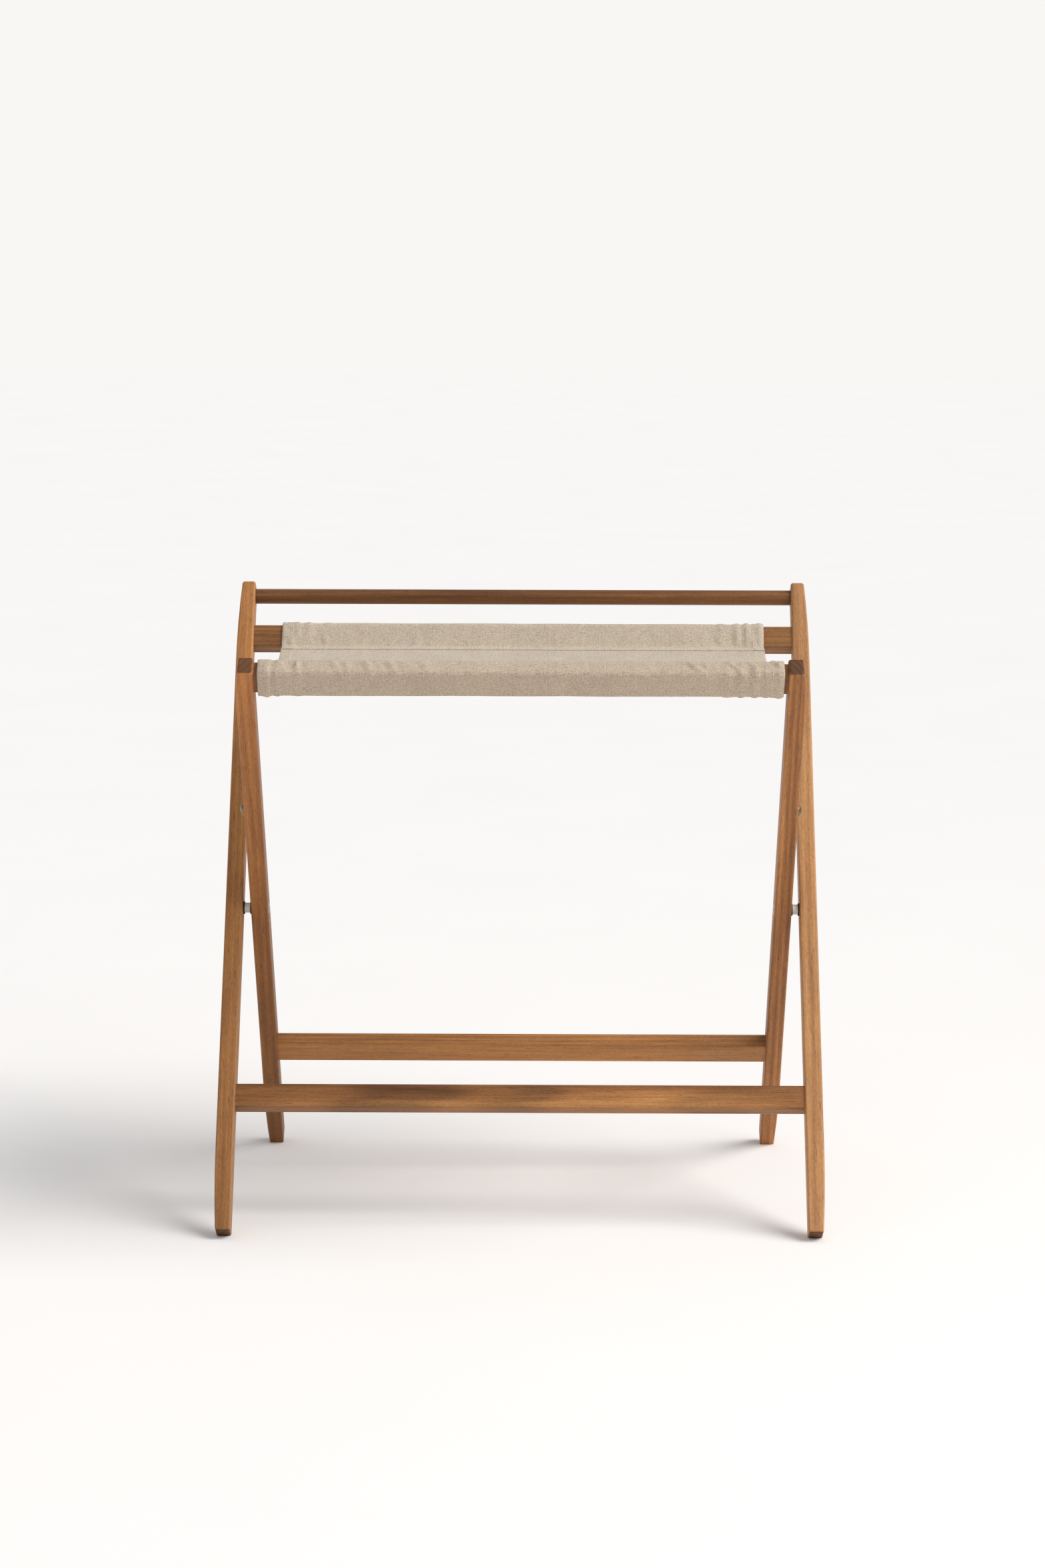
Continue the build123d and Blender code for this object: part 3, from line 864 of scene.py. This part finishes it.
def wood(name, mean, seed, lean=None, figure=0.5, contrast=1.0, drift=(1.0, 1.0), zones=()):
    """Oiled hardwood: growth rings, streaks and pores along the grain, darker end grain, and lighter
    edges that are partly wear and partly painted highlight.

    mean is its sRGB colour, and drift how much lighter it is at the low and high end of a leg, or the
    left and right end of a rail. zones are (place along the piece in metres, gain) pairs for darker and
    lighter stretches of its figure. lean is the angle of a leg, or None for a rail."""
    n = Nodes(name)
    draw = random.Random(seed)
    shift = [draw.uniform(-3, 3) for _ in range(3)]
    axis = 0 if lean is None else 2
    tilt = (lean or 0.0, 0, 0)
    coordinates = n.add("ShaderNodeTexCoord")
    along = n.separate(coordinates.outputs["Object"])[axis]
    turned = n.place(coordinates.outputs["Object"], rotation=tilt)

    def stretched(factor):
        return tuple(factor if k == axis else 1 for k in range(3))

    # growth rings: distance from a pith outside the board, bent by slow noise
    grain = n.place(turned, location=shift, scale=stretched(0.07))
    slow = n.noise(grain, 7.0, 3.0, 0.5, 0.2)
    parts = n.separate(grain)
    squares = []
    for k, reach in zip([k for k in range(3) if k != axis], PITH_RANGES):
        off = n.math("SUBTRACT", parts[k], shift[k] + draw.uniform(*reach))
        squares.append(n.math("MULTIPLY", off, off))
    bent = n.math("MULTIPLY_ADD", slow, RING_WAVER, n.math("SQRT", n.math("ADD", *squares)))
    waves = n.math("SINE", n.math("MULTIPLY", bent, 2 * math.pi / RING_SPACING))
    rings = n.grey(waves, -1.0, 1.0)
    # streaks of three sizes
    broad = n.noise(grain, 34.0, 3.0, 0.5, 0.6)
    streaks = n.noise(grain, 150.0, 4.0, 0.62, 0.25)
    fine = n.noise(n.place(turned, location=shift, scale=stretched(0.02)), 620.0, 2.0, 0.6)
    weights = (
        (broad, 0.62 * figure + 0.25), (rings, 0.16 * figure + 0.03),
        (streaks, 0.34), (slow, 0.5 * figure),
    )
    middle = sum(weight for _, weight in weights) / 2
    shade = n.grey(n.total(*weights), middle - 0.24, middle + 0.24)
    shades = shades_of(mean, contrast)
    base = n.ramp(shade, [(i / (len(shades) - 1), s) for i, s in enumerate(shades)])
    ends = RAIL_ENDS if lean is None else LEG_ENDS
    base = n.shaded(base, n.grey(along, *ends, *drift))
    if zones:
        # a ramp holds no value above 1, so this one holds half of each gain
        first, last = zones[0][0], zones[-1][0]
        stops = [((place - first) / (last - first), (0.5 * gain,) * 3) for place, gain in zones]
        wavy = n.math("SUBTRACT", n.math("MULTIPLY_ADD", broad, 0.16, along), 0.08)
        halved = n.separate(n.ramp(n.grey(wavy, first, last), stops, smooth=True))[0]
        base = n.shaded(base, n.math("MULTIPLY", halved, 2.0))
    # fine fibres, flecks and pores
    base = n.shaded(base, n.grey(fine, 0.35, 0.65, 0.86, 1.1))
    pore_place = n.place(turned, location=[s + 1.7 for s in shift], scale=stretched(0.045))
    flecks = n.noise(n.place(pore_place, scale=stretched(7.0)), 900.0, 2.0, 0.6)
    base = n.shaded(base, n.grey(flecks, 0.34, 0.66, 0.87, 1.11))
    dots = n.grey(n.noise(pore_place, 1500.0, 1.0, 0.5), 0.66, 0.74)
    base = n.mix(n.math("MULTIPLY", dots, 0.6), base, colour(*PORE_COLOUR))
    # end grain is darker
    facing = n.place(coordinates.outputs["Normal"], rotation=tilt)
    end = n.grey(n.math("ABSOLUTE", n.separate(facing)[axis]), 0.55, 0.85)
    end_colour = n.mix(rings, colour(*END_GRAIN[0]), colour(*END_GRAIN[1]))
    base = n.mix(n.math("MULTIPLY", end, 0.85), base, end_colour)
    # lighter edges: partly wear, partly a painted highlight along the arrises
    bevel = n.add("ShaderNodeBevel", samples=4)
    bevel.inputs["Radius"].default_value = 0.0022
    geometry = n.add("ShaderNodeNewGeometry")
    dot = n.add("ShaderNodeVectorMath", operation="DOT_PRODUCT")
    n.link(bevel.outputs[0], dot.inputs[0])
    n.link(geometry.outputs["True Normal"], dot.inputs[1])
    edge = n.grey(dot.outputs["Value"], 0.995, 0.90)
    edge_wear_and_highlight = n.math("MULTIPLY", edge, n.grey(broad, 0.4, 0.7, 0.1, 0.42))
    edge_wear_and_highlight = n.math("MULTIPLY", edge_wear_and_highlight, n.math("SUBTRACT", 1.0, end))
    base = n.mix(edge_wear_and_highlight, base, colour(*EDGE_WEAR_AND_HIGHLIGHT_COLOUR))
    rough = n.math("MULTIPLY_ADD", end, 0.2, n.grey(streaks, 0.3, 0.7, *WOOD_ROUGHNESS))
    rough = n.math("MULTIPLY_ADD", dots, 0.2, rough)
    height = n.total((fine, 0.5), (dots, -0.9), (rings, 0.12))
    n.surface(Base_Color=base, Roughness=rough, Normal=n.bump(height, 0.35, 0.00035))
    n.surface(Specular_IOR_Level=0.28)
    return n.material


# ---- cloth and other materials

def threads(n, along, across, pitch, seed):
    """One set of threads: their round tops, and an uneven shade from thread to thread."""
    count = n.math("DIVIDE", across, pitch)
    profile = n.math("ABSOLUTE", n.math("SINE", n.math("MULTIPLY", count, math.pi)))
    number = n.math("FLOOR", count)
    place = n.combine(n.math("MULTIPLY", number, 7.31), n.math("MULTIPLY", along, 150.0), seed)
    uneven = n.noise(place, 1.0, 3.0, 0.65)
    return profile, uneven, number


def linen(name, seed, tint=None):
    """Undyed linen canvas in plain weave, with slubs and a flecked, soft surface."""
    n = Nodes(name)
    plain = n.add("ShaderNodeUVMap", uv_map="cloth").outputs[0]
    parts = n.separate(plain)
    wobble = n.noise(plain, 90.0, 1.0)
    shift = n.math("MULTIPLY", n.math("SUBTRACT", wobble, 0.5), 0.0009)
    u = n.math("ADD", parts[0], shift)
    v = n.math("SUBTRACT", parts[1], shift)
    warp, warp_shade, warp_number = threads(n, v, u, WARP_PITCH, seed + 0.3)
    weft, weft_shade, weft_number = threads(n, u, v, WEFT_PITCH, seed + 5.9)
    parity = n.math("PINGPONG", n.math("ADD", warp_number, weft_number), 1.0)
    warp_up = n.math("MULTIPLY", warp, parity)
    weft_up = n.math("MULTIPLY", weft, n.math("SUBTRACT", 1.0, parity))
    raised = n.math("ADD", warp_up, weft_up)
    shades = [n.combine(shade, shade, shade) for shade in (weft_shade, warp_shade)]
    value = n.separate(n.mix(parity, *shades))[0]
    tone = n.ramp(value, [
        (0.26, colour(158, 138, 117)),
        (0.42, colour(188, 172, 151)),
        (0.56, colour(203, 189, 171)),
        (0.74, colour(224, 213, 198)),
    ])
    # flecks, slubs and speckles: short dark and light bits along single threads, and between them
    flecks = []
    for u_scale, v_scale, fleck_seed in ((260.0, 1300.0, seed), (1300.0, 260.0, seed + 9.0)):
        place = n.combine(n.math("MULTIPLY", u, u_scale), n.math("MULTIPLY", v, v_scale), fleck_seed)
        flecks.append(n.noise(place, 1.0, 2.0, 0.6))
    speckle = n.noise(plain, 620.0, 2.0, 0.7)
    marks = (
        (flecks[0], (0.62, 0.74), 0.6, (133, 108, 82)),
        (flecks[1], (0.64, 0.76), 0.5, (146, 122, 95)),
        (flecks[1], (0.36, 0.27), 0.6, (240, 232, 217)),
        (speckle, (0.5, 0.68), 0.42, (150, 125, 100)),
        (speckle, (0.48, 0.32), 0.42, (232, 224, 211)),
    )
    for source, limits, strength, shade in marks:
        tone = n.mix(n.math("MULTIPLY", n.grey(source, *limits), strength), tone, colour(*shade))
    # painted shade between the threads, and slow cloudiness of the undyed yarn
    tone = n.shaded(tone, n.grey(raised, 0.0, 0.55, 0.8, 1.03))
    cloud = n.noise(n.place(plain, scale=(1, 0.6, 1)), 26.0, 3.0, 0.6)
    tone = n.shaded(tone, n.grey(cloud, 0.3, 0.7, 0.94, 1.05))
    # painted shade: an optional tint that darkens and warms the whole cloth
    if tint:
        tone = n.mix(1.0, tone, (*tint, 1.0), "MULTIPLY")
    height = n.math("ADD", raised, n.math("MULTIPLY", n.grey(value, 0.5, 0.75), 0.5))
    rough = n.grey(value, 0.3, 0.7, 0.95, 0.84)
    n.surface(Base_Color=tone, Roughness=rough, Normal=n.bump(height, 0.55, 0.00028))
    n.surface(Sheen_Weight=0.18, Sheen_Roughness=0.55, Specular_IOR_Level=0.2)
    return n.material


def thread_material():
    n = Nodes("sewing_thread")
    twist = n.noise(n.add("ShaderNodeTexCoord").outputs["Object"], 2600.0, 2.0)
    base = n.ramp(twist, [(0.3, colour(196, 180, 154)), (0.7, colour(238, 229, 210))])
    rough = n.grey(twist, 0.3, 0.7, 0.6, 0.8)
    n.surface(Base_Color=base, Roughness=rough, Normal=n.bump(twist, 0.4, 0.0001))
    n.surface(Sheen_Weight=0.1, Sheen_Roughness=0.5)
    return n.material


def metal(name, dark, light, rough, seed):
    """Metal with fine marks, slightly dirtier and rougher in patches."""
    n = Nodes(name)
    place = n.place(n.add("ShaderNodeTexCoord").outputs["Object"], location=(seed, seed / 3, 0))
    patches = n.noise(place, 160.0, 4.0, 0.6)
    marks = n.noise(n.place(place, scale=(1, 1, 9)), 1320.0, 2.0, 0.6)
    base = n.ramp(patches, [(0.3, colour(*dark)), (0.7, colour(*light))])
    rough = n.math("MULTIPLY_ADD", marks, 0.06, n.grey(patches, 0.3, 0.7, rough - 0.06, rough + 0.1))
    n.surface(Base_Color=base, Roughness=rough, Normal=n.bump(marks, 0.12, 0.00008))
    n.surface(Metallic=1.0)
    return n.material


def nylon():
    n = Nodes("spacer_nylon_white")
    grain = n.noise(n.add("ShaderNodeTexCoord").outputs["Object"], 900.0, 3.0, 0.6)
    base = n.ramp(grain, [(0.3, colour(226, 222, 212)), (0.7, colour(243, 241, 234))])
    rough = n.grey(grain, 0.3, 0.7, 0.34, 0.48)
    n.surface(Base_Color=base, Roughness=rough, Normal=n.bump(grain, 0.15, 0.0001))
    return n.material


def floor_material():
    n = Nodes("floor_pale")
    mottle = n.noise(n.add("ShaderNodeTexCoord").outputs["Object"], 3.0, 3.0)
    base = n.ramp(mottle, [(0.3, (0.866, 0.848, 0.838)), (0.7, (0.878, 0.86, 0.85))])
    n.surface(Base_Color=base, Roughness=0.95, Specular_IOR_Level=0.0)
    return n.material


# ---- stage

def lamp(name, kind, energy, place, towards, **settings):
    """A light at a place, shining away from the direction towards."""
    data = bpy.data.lights.new(name, kind)
    data.energy = energy
    data.color = LAMP_COLOUR
    for key, value in settings.items():
        setattr(data, key, value)
    light = link(name, data)
    light.location = place
    light.rotation_euler = Vector(towards).to_track_quat("Z", "Y").to_euler()


def stage():
    mesh = bpy.data.meshes.new("floor")
    side = [FLOOR_SIZE * (i / FLOOR_CELLS - 0.5) for i in range(FLOOR_CELLS + 1)]
    mesh.from_pydata([(x, y, 0) for y in side for x in side], [], grid_faces(len(side), len(side)))
    floor = link("floor", mesh)
    mesh.materials.append(floor_material())
    # the world lights the object softly, and the camera sees a plain backdrop instead of it
    world = bpy.data.worlds.new("studio")
    world.use_nodes = True
    tree = world.node_tree
    light = tree.nodes["Background"]
    light.inputs[0].default_value = SKY_COLOUR
    light.inputs[1].default_value = SKY_LIGHT
    seen = tree.nodes.new("ShaderNodeBackground")
    seen.inputs[0].default_value = BACKDROP_COLOUR
    seen.inputs[1].default_value = BACKDROP
    choose = tree.nodes.new("ShaderNodeMixShader")
    ray = tree.nodes.new("ShaderNodeLightPath")
    tree.links.new(ray.outputs["Is Camera Ray"], choose.inputs[0])
    tree.links.new(light.outputs[0], choose.inputs[1])
    tree.links.new(seen.outputs[0], choose.inputs[2])
    tree.links.new(choose.outputs[0], tree.nodes["World Output"].inputs[0])
    bpy.context.scene.world = world
    lamp("key", "SUN", KEY_LIGHT, (0, 0, 0), KEY_FROM, angle=math.radians(KEY_ANGLE))
    lamp("side", "AREA", SIDE_LIGHT, SIDE_FROM, Vector(SIDE_FROM) - Vector(SIDE_AT), size=SIDE_SIZE)


def camera():
    data = bpy.data.cameras.new("camera")
    data.lens = CAMERA_LENS
    data.sensor_width = 36.0
    data.clip_end = 100.0
    view = link("camera", data)
    turn = Matrix.Rotation(math.radians(CAMERA_TURN), 3, "Z")
    pitch = Matrix.Rotation(math.radians(90 - CAMERA_PITCH), 3, "X")
    roll = Matrix.Rotation(math.radians(CAMERA_ROLL), 3, "Z")
    offset = turn @ Vector((CAMERA_SIDE, -CAMERA_BACK, 0))
    view.location = (offset.x, pivot.y + offset.y, CAMERA_HEIGHT)
    view.rotation_euler = (turn @ pitch @ roll).to_euler()
    bpy.context.scene.camera = view


# ---- build

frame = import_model()
pivot = Vector(frame["joints"][0]["pos_m"])
tall = LegFrame("handle_dowel")
short = LegFrame("front_sling_rail")
sling_low, sling_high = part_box("sling_front_tunnel")
HALF_WIDTH = (sling_high.x - sling_low.x) / 2 - 0.0004
COLUMNS = [x - HALF_WIDTH for x in steps_between(2 * HALF_WIDTH, FINE, EDGE_CELL)]

camera()
stage()
bpy.context.scene.view_settings.view_transform = "Standard"

line = panel_line()
line_length = length_of(line)


def from_rear(distance):
    return resample(line, [distance])[0]


def from_front(distance):
    return resample(line, [line_length - distance])[0]


def forward(distance):
    return (from_rear(distance + 0.001) - from_rear(max(0.0, distance - 0.001))).normalized()


def backward(distance):
    return (from_front(distance + 0.001) - from_front(max(0.0, distance - 0.001))).normalized()


front_puckers = Puckers(SEED, HALF_WIDTH, FRONT_PUCKERS)
rear_puckers = Puckers(SEED + 1, HALF_WIDTH, REAR_PUCKERS)
rear_cloth, rear_lines, rear_length = tunnel(
    "sling_rear_wrap", tall, "rear_sling_rail", from_rear, forward, REAR_GAPS, True,
    rear_puckers, REAR_GATHERS, 21,
)
front_cloth, front_lines, front_length = tunnel(
    "sling_front_wrap", short, "front_sling_rail", from_front, backward, FRONT_GAPS, False,
    front_puckers, FRONT_GATHERS, 34,
)
panel_cloth, panel_lines, panel_length = make_panel(line, front_puckers, rear_puckers)

rear_thread = stitches("sling_rear_stitches", rear_lines)
front_thread = stitches("sling_front_stitches", front_lines)
panel_thread = stitches("sling_panel_stitches", panel_lines)

canvas = linen("linen_canvas", 1.0)
thread = thread_material()
use(rear_cloth, canvas)
use(panel_cloth, canvas)
# the front tunnel is a little deeper in tone, as handled cloth is
use(front_cloth, linen("linen_canvas_painted_shade", 1.0, FRONT_WRAP_PAINTED_SHADE_TINT))
for piece in (rear_thread, front_thread, panel_thread):
    use(piece, thread)
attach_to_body(rear_cloth, "tall_frame")
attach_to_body(rear_thread, "tall_frame")
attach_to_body(front_cloth, "short_frame")
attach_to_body(front_thread, "short_frame")
for piece in (panel_cloth, panel_thread):
    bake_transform(piece)
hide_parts("sling_panel")
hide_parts("sling_rear_tunnel")
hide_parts("sling_front_tunnel")

nodes = frame["nodes"]
pins = wood("wood_pins", (176, 128, 84), 7, None, 0.3, 0.5)
woods = {
    "tall_leg_left": wood("wood_tall_leg_left", (151, 102, 58), 3, tall.lean, 0.4, 0.8, (0.90, 1.36)),
    "tall_leg_right": wood("wood_tall_leg_right", (184, 133, 86), 5, tall.lean, 0.45, 0.8, (1.02, 0.93)),
    "short_leg_left": wood("wood_short_leg_left", (160, 104, 57), 8, short.lean, 0.5, 0.8, (0.58, 1.3)),
    "short_leg_right": wood(
        "wood_short_leg_right", (163, 108, 62), 13, short.lean, 0.7, 1.0, (1.06, 1.0)),
    "rear_sling_rail": wood("wood_rear_rail", (137, 93, 52), 21, None, 0.5, 0.8, (0.99, 1.02)),
    "front_sling_rail": wood("wood_front_rail", (122, 79, 44), 34, None, 0.5, 0.8),
    "front_stretcher": wood(
        "wood_front_stretcher", (138, 91, 51), 55, None, 1.0, 1.2, (1.0, 1.0), FRONT_FIGURE),
    "rear_stretcher": wood(
        "wood_rear_stretcher", (165, 112, 65), 89, None, 0.6, 0.9, (1.08, 0.98), REAR_FIGURE),
    "handle_dowel": wood("wood_handle", (120, 78, 43), 144, None, 0.6, 0.9, (0.84, 1.1)),
    "tall_frame_dowel_pins": pins,
    "short_frame_dowel_pins": pins,
}
for name, material in woods.items():
    use(nodes[name], material)
steel = metal("steel_satin", (150, 149, 146), (184, 183, 180), 0.32, 1.0)
washer = metal("washer_black_oxide", (38, 36, 34), (66, 62, 58), 0.42, 2.0)
hardware = {
    "pivot_bolt": steel,
    "sleeve_nut": steel,
    "outer_washer": washer,
    "inner_washer": washer,
    "pivot_spacer": nylon(),
    "bumper": metal("stud_dark_bronze", (104, 84, 62), (150, 124, 92), 0.22, 3.0),
}
for name, material in hardware.items():
    for side in ("left", "right"):
        use(nodes[f"{name}_{side}"], material)
